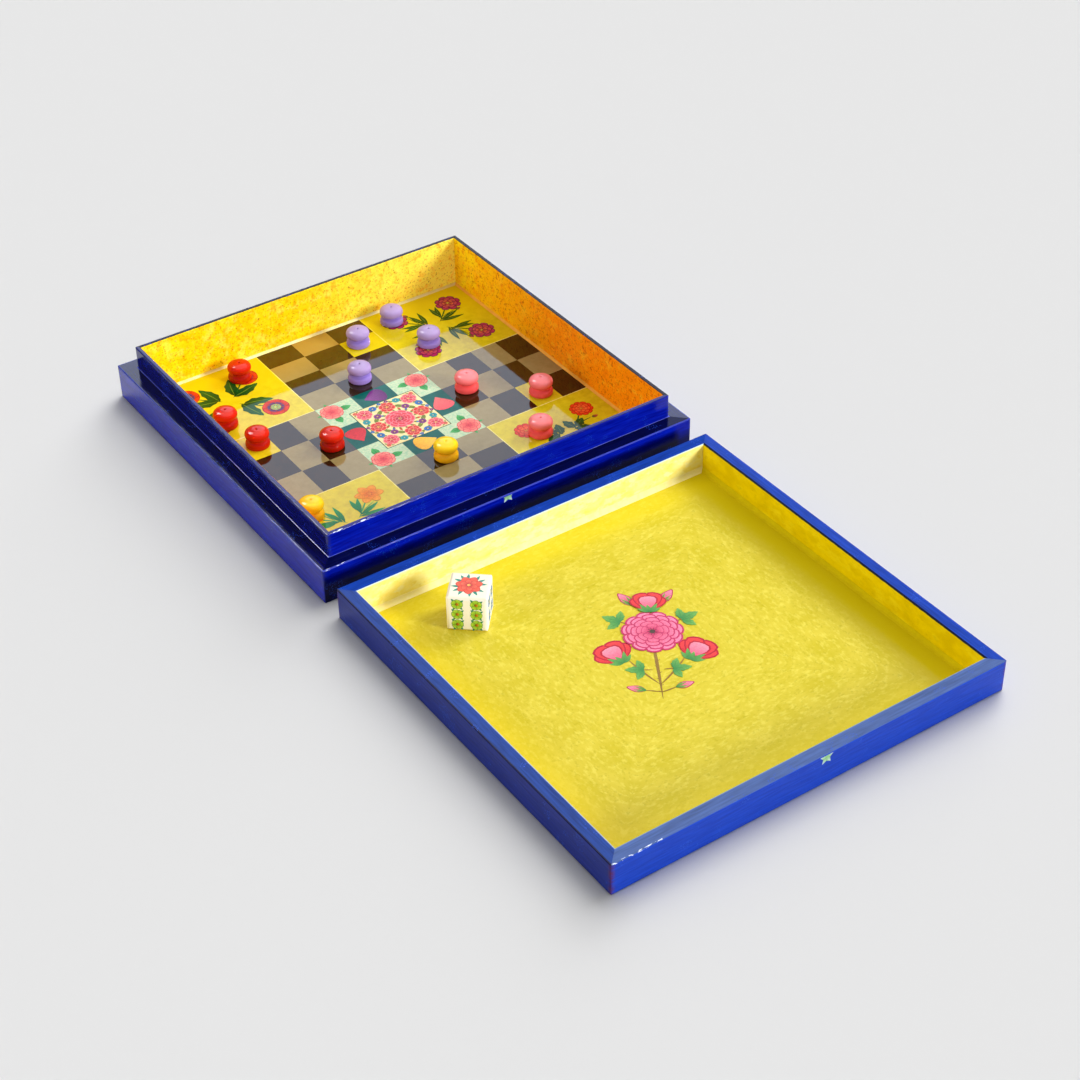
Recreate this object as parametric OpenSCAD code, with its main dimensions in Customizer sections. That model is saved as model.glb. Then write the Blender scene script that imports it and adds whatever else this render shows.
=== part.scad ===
// Ludo set in a square box of lacquered wood.
// The base stands on the table with its board inside, and the lid lies in front
// of it, upside down, with the die in it. Millimetres, +Z up, and the origin is
// at the middle of the base's underside. The front is -Y.

/* [Box] */
// Outer side of the square base, and of the lid
box_side = 254; // [220:1:300]
// Height of the base's outer walls, up to the ledge that the lid sits on
wall_h = 22.5; // [20:0.5:32]
// Thickness of the base's outer walls, which is the width of the ledge
wall_t = 9.5; // [7.5:0.1:14]
// Thickness of the base's floor panel
floor_t = 1.5; // [1:0.1:2.5]
// Radius of the upright corners of base, rim and lid
corner_r = 1.5; // [0.5:0.1:2.5]
// Radius of the eased long edges
edge_r = 0.8; // [0.3:0.1:1.2]

/* [Rim] */
// Height of the rim above the ledge
rim_rise = 15; // [9:0.5:16.5]
// Thickness of the liners that make the rim
rim_t = 3; // [2.6:0.1:5]

/* [Board] */
// Thickness of the playing board
board_t = 0.8; // [0.5:0.1:2]

/* [Lid] */
// Height of the lid
lid_h = 20; // [19:0.5:30]
// Thickness of the lid's panel
lid_panel_t = 2; // [1.5:0.1:3]
// Clearance between the lid's walls and the rim, on each side
lid_gap = 0.8; // [0.6:0.1:1.2]
// Distance between the base and the lid as they lie side by side
lid_apart = 14.2; // [8:0.2:40]

/* [Tokens] */
// Height of a token
token_h = 12; // [10:0.5:13.5]
// Radius of a token's base
token_r = 7.3; // [6.5:0.1:9]
// Radius of a token's cap
cap_r = 7; // [6.5:0.1:9]
// Radius at the bottom of the groove round a token
neck_r = 5.2; // [4:0.1:5.8]
// The same on the purple tokens, which are cut deeper
purple_neck_r = 4.6; // [3.5:0.1:5.8]

/* [Die] */
// Side of the die
die_side = 22.7; // [16:0.1:24]
// Radius of the die's edges
die_edge_r = 1.8; // [0.5:0.1:3]

/* [Hidden] */
$fn = 64;
// Side of the square that the base's outer walls leave, where floor and rim stand
well_side = box_side - 2 * wall_t;
// Side of the square inside the rim, which the board fills
board_side = well_side - 2 * rim_t;
board_top = floor_t + board_t;
rim_top = wall_h + rim_rise;
// The lid's walls are thinner than the ledge by the clearance
lid_wall_t = wall_t - lid_gap;
lid_well_side = box_side - 2 * lid_wall_t;
lid_y = -(box_side + lid_apart);

// Section of a token: radii of its round edges, and the heights of their centres
foot_edge_r = 1.2;
shoulder_r = 2.4;
shoulder_z = 1.6;
groove_r = 1;
groove_z = token_h - 6.6;
cap_edge_r = 1.7;
cap_z = token_h - 2.7;
// Slope at which the cap's round edge meets its dome, and the groove
cap_slope = 55;

// Places of the tokens as shares of half the board's side, x then y, chosen by
// hand: three stand on the track, the others in the four corner yards
red_places = [[-0.51, 0.85], [-0.79, 0.49], [-0.74, 0.23], [-0.425, -0.01]];
purple_places = [[0.474, 0.857], [0.2, 0.77], [0.525, 0.54], [0.022, 0.454]];
pink_places = [[0.45, 0.035], [0.757, -0.235], [0.536, -0.554], [0.84, -0.86]];
yellow_places = [[0.011, -0.443], [-0.82, -0.48], [-0.8, -0.86], [-0.51, -0.86]];
// Each player's name, colour, places of the tokens and radius at their groove
players = [
    ["red", "#d62a1c", red_places, neck_r],
    ["purple", "#9a7fd6", purple_places, purple_neck_r],
    ["pink", "#f06a72", pink_places, neck_r],
    ["yellow", "#f4b80e", yellow_places, neck_r],
];
// Place of the die as shares of half the lid's inner side, and how far it is turned
die_place = [-0.5875, 0.698];
die_turn = -41;

// Name of each side of a square frame, and its turn from the front
sides = [["front", 0], ["right", 90], ["back", 180], ["left", 270]];

// Points of an arc round centre c, from angle a to angle b
function arc(c, r, a, b, n = 6) =
    [for (i = [0:n]) c + r * [cos(a + (b - a) * i / n), sin(a + (b - a) * i / n)]];

// A square with exactly round corners
module rounded_square(side, r) {
    square([side - 2 * r, side], center = true);
    square([side, side - 2 * r], center = true);
    for (x = [-1, 1], y = [-1, 1])
        translate([x, y] * (side / 2 - r)) circle(r);
}

// Section of a bar, outer face at x = 0, with its outer edges eased at the foot
// and the top, and its inner edge at the top
module bar_section(t, h, foot_r, outer_r, inner_r) {
    polygon(concat(
        [[t, 0]],
        inner_r > 0 ? arc([t - inner_r, h - inner_r], inner_r, 0, 90) : [[t, h]],
        arc([outer_r, h - outer_r], outer_r, 90, 180),
        foot_r > 0 ? arc([foot_r, foot_r], foot_r, 180, 270) : [[0, 0]]
    ));
}

// The front bar of a square frame, cut at 45 degrees at both ends
module mitred_bar(side, t, h, foot_r, outer_r, inner_r) {
    half = side / 2;
    intersection() {
        linear_extrude(h) intersection() {
            rounded_square(side, corner_r);
            polygon([[-half, -half], [half, -half], [half - t, t - half], [t - half, t - half]]);
        }
        translate([-half, -half, 0]) rotate([90, 0, 90])
            linear_extrude(side) bar_section(t, h, foot_r, outer_r, inner_r);
    }
}

module base_floor_panel() {
    color("#10208a")
        translate([-well_side / 2, -well_side / 2, 0]) cube([well_side, well_side, floor_t]);
}

module playing_board() {
    color("#d9c64a")
        translate([-board_side / 2, -board_side / 2, floor_t])
            cube([board_side, board_side, board_t]);
}

module base_wall(turn) {
    color("#0a1fa8") rotate([0, 0, turn])
        mitred_bar(box_side, wall_t, wall_h, edge_r, edge_r, 0);
}

// A liner stands on the floor panel, against the walls, and rises past them
module rim_liner(turn) {
    color("#1a2fb0") rotate([0, 0, turn]) translate([0, 0, floor_t])
        mitred_bar(well_side, rim_t, rim_top - floor_t, 0, edge_r, edge_r);
}

module lid_top_panel() {
    color("#e6d84a")
        translate([-lid_well_side / 2, lid_y - lid_well_side / 2, 0])
            cube([lid_well_side, lid_well_side, lid_panel_t]);
}

module lid_wall(turn) {
    color("#1f45c0") translate([0, lid_y, 0]) rotate([0, 0, turn])
        mitred_bar(box_side, lid_wall_t, lid_h, edge_r, edge_r, edge_r);
}

// A token in its player's colour, standing on the board
module token(player, i) {
    place = player[2][i] * board_side / 2;
    color(player[1]) translate([place.x, place.y, board_top])
        turned_token(player[3]);
}

// A round base, a groove down to the given radius, and a cap with a low dome
module turned_token(groove_floor_r) {
    cap_centre = [cap_r - cap_edge_r, cap_z];
    dome_foot = cap_centre + cap_edge_r * [cos(cap_slope), sin(cap_slope)];
    rise = token_h - dome_foot.y;
    dome_r = (pow(dome_foot.x, 2) + pow(rise, 2)) / (2 * rise);
    dome = arc([0, token_h - dome_r], dome_r, acos(dome_foot.x / dome_r), 90, 8);
    rotate_extrude() polygon(concat(
        [[0, 0]],
        arc([token_r - foot_edge_r, foot_edge_r], foot_edge_r, -90, 0),
        arc([token_r - shoulder_r, shoulder_z], shoulder_r, 0, 60),
        arc([groove_floor_r + groove_r, groove_z], groove_r, 240, 120),
        arc(cap_centre, cap_edge_r, -cap_slope, cap_slope, 10),
        [for (i = [1:7]) dome[i]],
        [[0, token_h]]
    ));
}

// A cube with round edges: what three rounded bars share
module die() {
    place = die_place * lid_well_side / 2;
    color("#f4ead2")
        translate([place.x, lid_y + place.y, lid_panel_t + die_side / 2])
            rotate([0, 0, die_turn]) intersection() {
                round_bar([0, 0, 0]);
                round_bar([90, 0, 0]);
                round_bar([0, 90, 0]);
            }
}

// A bar as thick as the die, turned to lie along one of its axes
module round_bar(turn) {
    rotate(turn) linear_extrude(die_side, center = true)
        rounded_square(die_side, die_edge_r);
}

base_floor_panel();
playing_board();
for (s = sides) base_wall(s[1]);
for (s = sides) rim_liner(s[1]);
lid_top_panel();
for (s = sides) lid_wall(s[1]);
for (p = players, i = [0:3])
    token(p, i);
die();
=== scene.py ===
import math

import bmesh
import bpy
from mathutils import Euler, Matrix, Vector


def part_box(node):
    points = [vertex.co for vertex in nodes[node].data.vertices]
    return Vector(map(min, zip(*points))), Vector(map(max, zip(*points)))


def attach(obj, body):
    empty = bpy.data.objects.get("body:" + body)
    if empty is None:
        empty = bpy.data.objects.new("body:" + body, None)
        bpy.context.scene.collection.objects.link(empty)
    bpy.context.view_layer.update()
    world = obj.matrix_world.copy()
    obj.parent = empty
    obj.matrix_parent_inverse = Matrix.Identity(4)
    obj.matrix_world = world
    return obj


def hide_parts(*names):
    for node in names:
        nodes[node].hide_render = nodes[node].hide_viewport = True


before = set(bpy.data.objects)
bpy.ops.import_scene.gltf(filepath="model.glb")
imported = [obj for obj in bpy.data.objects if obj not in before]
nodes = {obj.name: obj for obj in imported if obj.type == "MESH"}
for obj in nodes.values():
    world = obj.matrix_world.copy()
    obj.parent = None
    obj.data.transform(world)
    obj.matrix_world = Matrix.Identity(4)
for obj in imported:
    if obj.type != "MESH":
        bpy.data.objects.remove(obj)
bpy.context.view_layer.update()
mm = 0.001

boardLow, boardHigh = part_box("playing_board")
boardHalf = boardHigh.x
lidLow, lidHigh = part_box("lid_top_panel")
lidHalf = lidHigh.x
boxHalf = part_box("base_wall_front")[1].x
lidMiddle = (lidLow + lidHigh) / 2
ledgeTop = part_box("base_wall_front")[1].z
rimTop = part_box("rim_liner_front")[1].z
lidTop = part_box("lid_wall_front")[1].z
rimHalf = boxHalf - (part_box("base_wall_front")[1].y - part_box("base_wall_front")[0].y)
players = ("red", "purple", "pink", "yellow")  # clockwise from the far left corner
sides = ("front", "right", "back", "left")


def linear(hexText):
    shares = [int(hexText[i:i + 2], 16) / 255 for i in (1, 3, 5)]
    return [s / 12.92 if s <= 0.04045 else ((s + 0.055) / 1.055) ** 2.4 for s in shares] + [1.0]


def addNode(tree, kind, settings=None, links=None, output=0):
    node = tree.nodes.new("ShaderNode" + kind)
    for key, value in (settings or {}).items():
        if isinstance(key, int) or key in node.inputs:
            node.inputs[key].default_value = value
        else:
            setattr(node, key, value)
    for key, source in (links or {}).items():
        tree.links.new(source, node.inputs[key])
    return node.outputs if output is None else node.outputs[output]


def startMaterial(name, shine):
    material = bpy.data.materials.new(name)
    material.use_nodes = True
    tree = material.node_tree
    shader = tree.nodes["Principled BSDF"]
    for socket, value in shine.items():
        shader.inputs[socket].default_value = value
    return material, tree, shader, addNode(tree, "TexCoord", output="Object")


def addMesh(name, bm, materials):
    mesh = bpy.data.meshes.new(name)
    bm.to_mesh(mesh)
    bm.free()
    for material in materials:
        mesh.materials.append(material)
    surface = bpy.data.objects.new(name, mesh)
    bpy.context.scene.collection.objects.link(surface)
    return surface


def addPiece(name, bm, body, materials):
    piece = addMesh(name, bm, materials)
    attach(piece, body)
    return piece


def spun(points, middle, steps, closed=False):
    # an outline of points, turned once round the upright line through the middle
    bm = bmesh.new()
    outline = [bm.verts.new(point) for point in points]
    following = outline[1:] + (outline[:1] if closed else [])
    edges = [bm.edges.new(pair) for pair in zip(outline, following)]
    bmesh.ops.spin(bm, geom=outline + edges, cent=middle, axis=(0, 0, 1), dvec=(0, 0, 0),
                   angle=2 * math.pi, steps=steps, use_merge=True)
    bmesh.ops.remove_doubles(bm, verts=bm.verts, dist=1e-6)
    bmesh.ops.recalc_face_normals(bm, faces=bm.faces)
    for face in bm.faces:
        face.smooth = True
    return bm


cloudRange = {"From Min": 0.36, "From Max": 0.64}  # of a noise, where one tone turns into the other
markRange = {"From Min": 0.3, "From Max": 0.7}  # the same in brush marks, which turn more slowly
fleckEdge = 0.14  # of a noise, over which a fleck fades out
above, below = "GREATER_THAN", "LESS_THAN"  # tests of a Math node, which give 1 or 0


def fadeTo(tree, under, ink, value, start, full, strength=1.0):
    # more of the ink over the paint beneath as the value goes from start to full
    reach = {"From Min": start, "From Max": full, "To Max": strength}
    share = addNode(tree, "MapRange", reach, {"Value": value})
    return addNode(tree, "Mix", {"data_type": "RGBA", 7: linear(ink)}, {0: share, 6: under}, output=2)


def inkWhere(tree, under, ink, tests):
    # the ink only where every value passes its test
    mask = None
    for value, operation, limit in tests:
        test = addNode(tree, "Math", {"operation": operation, 1: limit}, {0: value})
        if mask is not None:
            test = addNode(tree, "Math", {"operation": "MULTIPLY"}, {0: mask, 1: test})
        mask = test
    return addNode(tree, "Mix", {"data_type": "RGBA", 7: linear(ink)}, {0: mask, 6: under}, output=2)


def sealPaint(tree, shader, colour, relief, reliefMm):
    bump = addNode(tree, "Bump", {"Distance": reliefMm * mm}, {"Height": relief})
    tree.links.new(colour, shader.inputs["Base Color"])
    tree.links.new(bump, shader.inputs["Normal"])


def sealInWaves(tree, shader, place, colour, coat):
    # under a coat that has set with slight waves
    waves = {"Scale": 1 / (coat["waveMm"] * mm), "Detail": 1.0}
    waves = addNode(tree, "TexNoise", waves, {"Vector": place})
    sealPaint(tree, shader, colour, waves, coat["reliefMm"])


# Camera: the place and lens of the photo's, worked out from the box's corners

photoCamera = {
    "place": (-0.561, -0.985, 0.776),
    "azimuth": -33.95,  # degrees, turned from +Y
    "down": 37.57,  # degrees below level
    "roll": -0.98,
    "lens": 74.17,  # mm on a sensor 36 mm wide
}


def aimCamera(look):
    data = bpy.data.cameras.new("photoCamera")
    data.lens = look["lens"]
    data.sensor_width = 36
    camera = bpy.data.objects.new("photoCamera", data)
    bpy.context.scene.collection.objects.link(camera)
    turn = Euler((math.radians(90 - look["down"]), 0, math.radians(look["azimuth"]))).to_matrix()
    turn = turn @ Matrix.Rotation(math.radians(look["roll"]), 3, "Z")
    camera.matrix_world = Matrix.Translation(look["place"]) @ turn.to_4x4()
    bpy.context.scene.camera = camera


aimCamera(photoCamera)
print("camera in place")


# Box: blue lacquer on wood, laid on with a brush along each bar. The eye sees faint long marks in
# tone and relief under a shine that is deep on the base and satin on the lid, with rubbed corners,
# and painted light and shade by side: tops, lines along the edges, glints and a darker lower front.
# Inside the rim is gold leaf on a red ground, rubbed and varnished: patches of pale and warm gold,
# with the ground and dark specks showing through, painted paler on front and back and deeper on the
# sides as lit and shaded copies. Inside the lid is gold paint, brushed on: an even dull gold with
# short marks, smoother near the walls, with painted shade along them.

baseLacquer = {
    "colours": ("#071eba", "#020b8a"),
    "roughness": 0.1,
    "markMm": 1.2,  # width of a brush mark
    "markLength": 14,  # times its width
    "peelMm": 2.4,  # waves of the coat between the marks
    "reliefMm": 0.045,
    "topMm": 0.3,  # down to here from its highest point a bar has its top's colour, painted light and shade set per bar
    "topShades": (0.75, 1.3),  # times that colour, in the brush marks
    "undercoat": "#2c3478",  # shows where a corner is rubbed
    "wearMm": 2.5,  # up to here from the corner
    "footMm": (18, 10),  # between these heights a painted shade darkens the bar downwards, for the lid's shade in the gap
    "footShare": 0.85,
    "paintedEdgeShadingMm": 0.5,  # width of a painted line of light along a top edge, dark as painted shade on the lid's left bar
    "scuff": "#1a44b8",  # fine scratches in a few patches
    "scuffMm": 0.6,
    "scuffPatchMm": 12,
    "scuffAbove": 0.61,  # of both noises
    "paintedGlint": "#dfe8ff",  # painted glints along the front's top edges near the corner
    "paintedGlintMm": 0.9,
    "paintedGlintLength": 4,  # times its width
    "paintedGlintEdgeMm": 0.45,  # up to here from the edge
    "paintedGlintReachMm": 30,  # and from the corner
    "paintedGlintAbove": 0.575,
    "paintedInnerEdgeShadingMm": 0.9,  # width of a painted line of light along an inner edge, dark as painted shade on the lid's right bar
    "paintedInnerEdgeShadingDropMm": 1.2,  # and how far down it comes
    "giltEdgeMm": (0.2, 0.35),  # past the inner face the gold fades out between these
    "giltWanderMm": 0.15,  # and its edge wanders this much
    "giltFromMm": 0.6,  # height from which there is gold
}
lidLacquer = dict(baseLacquer, colours=("#1c4cc6", "#163cac"), undercoat="#6a2c48", scuff="#2c58cc",
                  roughness=0.3)
# gold leaf painted pale and bright for the lit front and back walls; its deeper copy is painted shade for
# the sides
litGoldLeaf = {
    "colours": ("#f8d812", "#f6c604"),
    "patchMm": 9,
    "flecks": [  # colour, size in mm, how much of the noise it leaves out, and how well it covers
        ("#fcec58", 8, 0.52, 0.55),  # pale clouds where the leaf is rubbed
        ("#f49c04", 5, 0.55, 0.7),  # where the red ground shows through
        ("#fcea70", 3, 0.57, 0.35),
        ("#dc7c04", 1.7, 0.57, 0.7),
        ("#744004", 1.2, 0.58, 0.85),  # specks
    ],
    "streak": 1,  # times as long as wide
    "roughness": 0.36,
    "tint": {"colour": "#fcf678", "axis": 0, "mm": (0, 100), "strength": 0.45},  # paler to the right
}
shadedGoldLeaf = dict(
    litGoldLeaf,
    colours=("#ffde10", "#ffc404"),
    flecks=[("#ffc428", 7, 0.55, 0.5), ("#f07804", 5, 0.54, 0.6), ("#c45404", 2.4, 0.54, 0.6),
            ("#ffcc30", 1.8, 0.59, 0.5), ("#943800", 1.2, 0.57, 0.7)],
    tint={"colour": "#fc8000", "axis": 1, "mm": (110, 0), "strength": 0.85},  # painted shade, redder towards the front
)
goldPaint = {
    "colours": ("#dcca40", "#d2c030"),
    "patchMm": 8,
    "flecks": [("#c8b820", 11, 0.5, 0.4), ("#ece060", 2.4, 0.5, 0.45), ("#b8a818", 1.4, 0.55, 0.5)],
    "streak": 1.8,
    "roughness": 0.21,
    "smoothMm": (30, 14),  # from the walls, where the coat is smoother and a painted shade deepens the gold
    "smooth": ("#dcc818", 0.6),  # the painted shade's colour there, and how well it covers
    "smoothRoughness": 0.15,
    "rightWallShadeMm": (24, 12),  # from the right wall, where a painted shade of that wall is deepest
    # the painted shade's colour by the right wall, and how well it covers
    "thick": ("#d4c008", 0.85),
}
wallGold = {  # inside the walls: on front and back, paler as painted sheen, and on right and left, deeper as painted shade
    "rim_liner_": (litGoldLeaf, shadedGoldLeaf),
    "lid_wall_": (
        dict(goldPaint, colours=("#fffaae", "#fdee80"),
             flecks=[("#fffdd0", 5, 0.5, 0.6), ("#eed94c", 3, 0.56, 0.5)]),
        dict(goldPaint, colours=("#eed002", "#dcbc00"),
             flecks=[("#f4dc1c", 6, 0.52, 0.6), ("#ccae00", 3, 0.55, 0.5)]),
    ),
}
# what differs from bar to bar, mostly painted light and shade for the side each faces: colour of the top,
# how much the bar shines, painted lines of light or shade along its outer or inner edge, painted glints,
# a painted shade low on the front, and colours of its own, darker on the left bars as painted shade
barLooks = {
    "base_wall_": {
        "front": {"top": "#02063c", "shine": 0.1, "paintedEdgeShading": "#3c46b4", "paintedGlints": True, "foot": "#010214"},
        "right": {"top": "#01034a", "shine": 0.5, "paintedEdgeShading": "#3a48a8"},
        "back": {"top": "#01034a", "shine": 0.5, "paintedEdgeShading": "#3a48a8"},
        "left": {"top": "#01034a", "shine": 0.5, "paintedEdgeShading": "#3a48a8"},
    },
    "rim_liner_": {
        "front": {"top": "#060e6c", "shine": 0.3, "paintedGlints": True},
        "right": {"top": "#05061c", "shine": 0.2},
        "back": {"top": "#05061c", "shine": 0.2},
        # the left rim bar's darker lacquer is painted shade
        "left": {"top": "#081060", "shine": 0.5, "colours": ("#040c78", "#020650")},
    },
    "lid_wall_": {
        # the lid front's slate top is a painted reflection of the room
        "front": {"top": "#445c94", "shine": 0.2, "paintedInnerEdgeShading": "#7c94b4", "paintedGlints": True,
                  "colours": ("#1a48c8", "#1238ae")},
        "right": {"top": "#1a3ea4", "shine": 0.06, "paintedInnerEdgeShading": "#04061c", "paintedInnerEdgeShadingMm": 1.7},
        "back": {"top": "#0e3898", "shine": 0.06, "paintedInnerEdgeShading": "#c8e0d8", "roughness": 0.6},
        # the left lid bar's darker lacquer is painted shade, with a dark painted shade line along its outer
        # top edge
        "left": {"top": "#1c3c88", "shine": 0.15, "paintedInnerEdgeShading": "#8ca0bc", "paintedEdgeShading": "#0a0e38",
                 "colours": ("#1e3090", "#182672")},
    },
}


def gilding(tree, place, brushed, gold):
    # two tones in patches, a tint that grows along one axis, and flecks over both
    patches = {"Scale": 1 / (gold["patchMm"] * mm), "Detail": 3.0, "Roughness": 0.6}
    share = addNode(tree, "TexNoise", patches, {"Vector": brushed})
    share = addNode(tree, "MapRange", cloudRange, {"Value": share})
    tones = {"data_type": "RGBA", 6: linear(gold["colours"][0]), 7: linear(gold["colours"][1])}
    ground = addNode(tree, "Mix", tones, {0: share}, output=2)
    # a tint along one axis; on the side walls' gold leaf it is painted shade, redder towards the front
    if "tint" in gold:
        tint = gold["tint"]
        start, full = (reach * mm for reach in tint["mm"])
        axes = addNode(tree, "SeparateXYZ", {}, {"Vector": place}, output=None)
        ground = fadeTo(tree, ground, tint["colour"], axes[tint["axis"]], start, full, tint["strength"])
    for colour, sizeMm, left, strength in gold["flecks"]:
        fleck = {"Scale": 1 / (sizeMm * mm), "Detail": 3.0, "Roughness": 0.6}
        spots = addNode(tree, "TexNoise", fleck, {"Vector": brushed})
        ground = fadeTo(tree, ground, colour, spots, left, left + fleckEdge, strength)
    return ground


def barCoordinates(tree, place, middleY):
    # across runs square to the bars of a frame and along runs with them, on all four sides
    centred = addNode(tree, "Mapping", {"Location": (0, -middleY, 0)}, {"Vector": place})
    axes = addNode(tree, "SeparateXYZ", {}, {"Vector": centred}, output=None)
    sizes = [addNode(tree, "Math", {"operation": "ABSOLUTE"}, {0: axes[i]}) for i in (0, 1)]
    across = addNode(tree, "Math", {"operation": "MAXIMUM"}, {0: sizes[0], 1: sizes[1]})
    along = addNode(tree, "Math", {"operation": "MINIMUM"}, {0: sizes[0], 1: sizes[1]})
    return across, along, axes[2]


def stretched(tree, across, along, height, times):
    shorter = addNode(tree, "Math", {"operation": "DIVIDE", 1: float(times)}, {0: along})
    return addNode(tree, "CombineXYZ", {}, {0: across, 1: shorter, 2: height})


def brushMarks(tree, brushed, look, colours):
    # the marks, how far each has the second tone, and the colour that gives
    marks = {"Scale": 1 / (look["markMm"] * mm), "Detail": 3.0}
    marks = addNode(tree, "TexNoise", marks, {"Vector": brushed})
    tone = addNode(tree, "MapRange", markRange, {"Value": marks})
    tones = {"data_type": "RGBA", 6: linear(colours[0]), 7: linear(colours[1])}
    return marks, tone, addNode(tree, "Mix", tones, {0: tone}, output=2)


def lacqueredWood(name, look):
    shine = {"Roughness": look["roughness"], "Specular IOR Level": look["shine"]}
    material, tree, shader, place = startMaterial(name, shine)
    outer, topZ = look["outer"], look["topZ"]
    across, along, height = barCoordinates(tree, place, look["middleY"])
    brushed = stretched(tree, across, along, height, look["markLength"])
    marks, tone, colour = brushMarks(tree, brushed, look, look["colours"])
    peel = {"Scale": 1 / (look["peelMm"] * mm), "Detail": 2.0}
    peel = addNode(tree, "TexNoise", peel, {"Vector": place})
    wear = {"From Min": outer - look["wearMm"] * mm, "From Max": outer}
    wear = addNode(tree, "MapRange", wear, {"Value": along})
    wear = addNode(tree, "Math", {"operation": "MULTIPLY"}, {0: wear, 1: tone})
    bare = {"data_type": "RGBA", 7: linear(look["undercoat"])}
    colour = addNode(tree, "Mix", bare, {0: wear, 6: colour}, output=2)
    # painted shade: the front bar darkens downwards, where the lid shades the gap
    if "foot" in look:
        start, full = (reach * mm for reach in look["footMm"])
        colour = fadeTo(tree, colour, look["foot"], height, start, full, look["footShare"])
    # the top's colour, given per bar, is painted light and shade for how light falls on each top
    tops = [[share * shade for share in linear(look["top"])] for shade in look["topShades"]]
    top = addNode(tree, "Mix", {"data_type": "RGBA", 6: tops[0], 7: tops[1]}, {0: tone}, output=2)
    onTop = addNode(tree, "Math", {"operation": above, 1: topZ - look["topMm"] * mm}, {0: height})
    colour = addNode(tree, "Mix", {"data_type": "RGBA"}, {0: onTop, 6: colour, 7: top}, output=2)
    # a painted line of light along the outer top edge, dark as painted shade on the lid's left bar
    if "paintedEdgeShading" in look:
        width = look["paintedEdgeShadingMm"] * mm
        colour = inkWhere(tree, colour, look["paintedEdgeShading"],
                          [(height, above, topZ - width), (across, above, outer - width)])
    grain = {"Scale": 1 / (look["scuffMm"] * mm), "Detail": 2.0}
    grain = addNode(tree, "TexNoise", grain, {"Vector": place})
    patch = addNode(tree, "TexNoise", {"Scale": 1 / (look["scuffPatchMm"] * mm)}, {"Vector": place})
    colour = inkWhere(tree, colour, look["scuff"],
                      [(grain, above, look["scuffAbove"]), (patch, above, look["scuffAbove"])])
    # painted glints: short pale dashes along the front's top edges near the corner
    if "paintedGlints" in look:
        width = look["paintedGlintEdgeMm"] * mm
        dashes = stretched(tree, across, along, height, look["paintedGlintLength"])
        glintNoise = {"Scale": 1 / (look["paintedGlintMm"] * mm), "Detail": 1.0}
        glintNoise = addNode(tree, "TexNoise", glintNoise, {"Vector": dashes})
        axes = addNode(tree, "SeparateXYZ", {}, {"Vector": place}, output=None)
        colour = inkWhere(tree, colour, look["paintedGlint"],
                          [(height, above, topZ - width), (across, above, outer - width),
                           (axes[0], below, look["paintedGlintReachMm"] * mm - outer),
                           (glintNoise, above, look["paintedGlintAbove"])])
    # a painted line of light along the inner top edge, dark as painted shade on the lid's right bar
    if "paintedInnerEdgeShading" in look:
        colour = inkWhere(tree, colour, look["paintedInnerEdgeShading"],
                          [(height, above, topZ - look["paintedInnerEdgeShadingDropMm"] * mm),
                           (across, below, look["inner"] + look["paintedInnerEdgeShadingMm"] * mm)])
    if "gold" in look:
        gold, stray = look["gold"], look["giltWanderMm"] * mm
        full, gone = (look["inner"] + reach * mm for reach in look["giltEdgeMm"])
        stray = addNode(tree, "MapRange", {"To Min": -stray, "To Max": stray}, {"Value": peel})
        edge = addNode(tree, "Math", {"operation": "ADD"}, {0: across, 1: stray})
        gilt = {"From Min": full, "From Max": gone, "To Min": 1.0, "To Max": 0.0}
        gilt = addNode(tree, "MapRange", gilt, {"Value": edge})
        inside = addNode(tree, "Math", {"operation": above, 1: look["giltFromMm"] * mm}, {0: height})
        gilt = addNode(tree, "Math", {"operation": "MULTIPLY"}, {0: gilt, 1: inside})
        leaf = gilding(tree, place, stretched(tree, across, along, height, gold["streak"]), gold)
        colour = addNode(tree, "Mix", {"data_type": "RGBA"}, {0: gilt, 6: colour, 7: leaf}, output=2)
        rough = {"To Min": look["roughness"], "To Max": gold["roughness"]}
        rough = addNode(tree, "MapRange", rough, {"Value": gilt})
        tree.links.new(rough, shader.inputs["Roughness"])
    relief = addNode(tree, "Math", {"operation": "ADD"}, {0: marks, 1: peel})
    sealPaint(tree, shader, colour, relief, look["reliefMm"])
    return material


def dressBox():
    frames = {  # lacquer, name, where the frame is, how far out its bars reach, their top and inner face
        "base_wall_": dict(baseLacquer, name="glossLacquer_", middleY=0.0, outer=boxHalf, topZ=ledgeTop),
        "rim_liner_": dict(baseLacquer, name="lacquerAndLeaf_", middleY=0.0, outer=rimHalf, topZ=rimTop,
                           inner=boardHalf),
        "lid_wall_": dict(lidLacquer, name="satinLacquerAndGold_", middleY=lidMiddle.y, outer=boxHalf,
                          topZ=lidTop, inner=lidHalf),
    }
    for kind, bars in frames.items():
        for side in sides:
            look = {**bars, **barLooks[kind][side]}
            # front and back get the paler gold, a painted sheen, and the sides the deeper gold, painted
            # shade
            if kind in wallGold:
                look["gold"] = wallGold[kind][0 if side in ("front", "back") else 1]
            nodes[kind + side].material_slots[0].material = lacqueredWood(bars["name"] + side, look)
    under = dict(frames["base_wall_"], top=baseLacquer["colours"][0], shine=0.5)
    nodes["base_floor_panel"].material_slots[0].material = lacqueredWood("glossLacquer_under", under)


dressBox()
print("box lacquered")


# Lid panel: the lid's gold paint inside, brushed in squares that follow the walls, with painted shade
# near the walls, deepest by the right wall, and satin blue lacquer outside, brushed along X

panelLook = {"blues": ("#1642b4", "#0e2e94"), "shine": 0.2}


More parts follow.
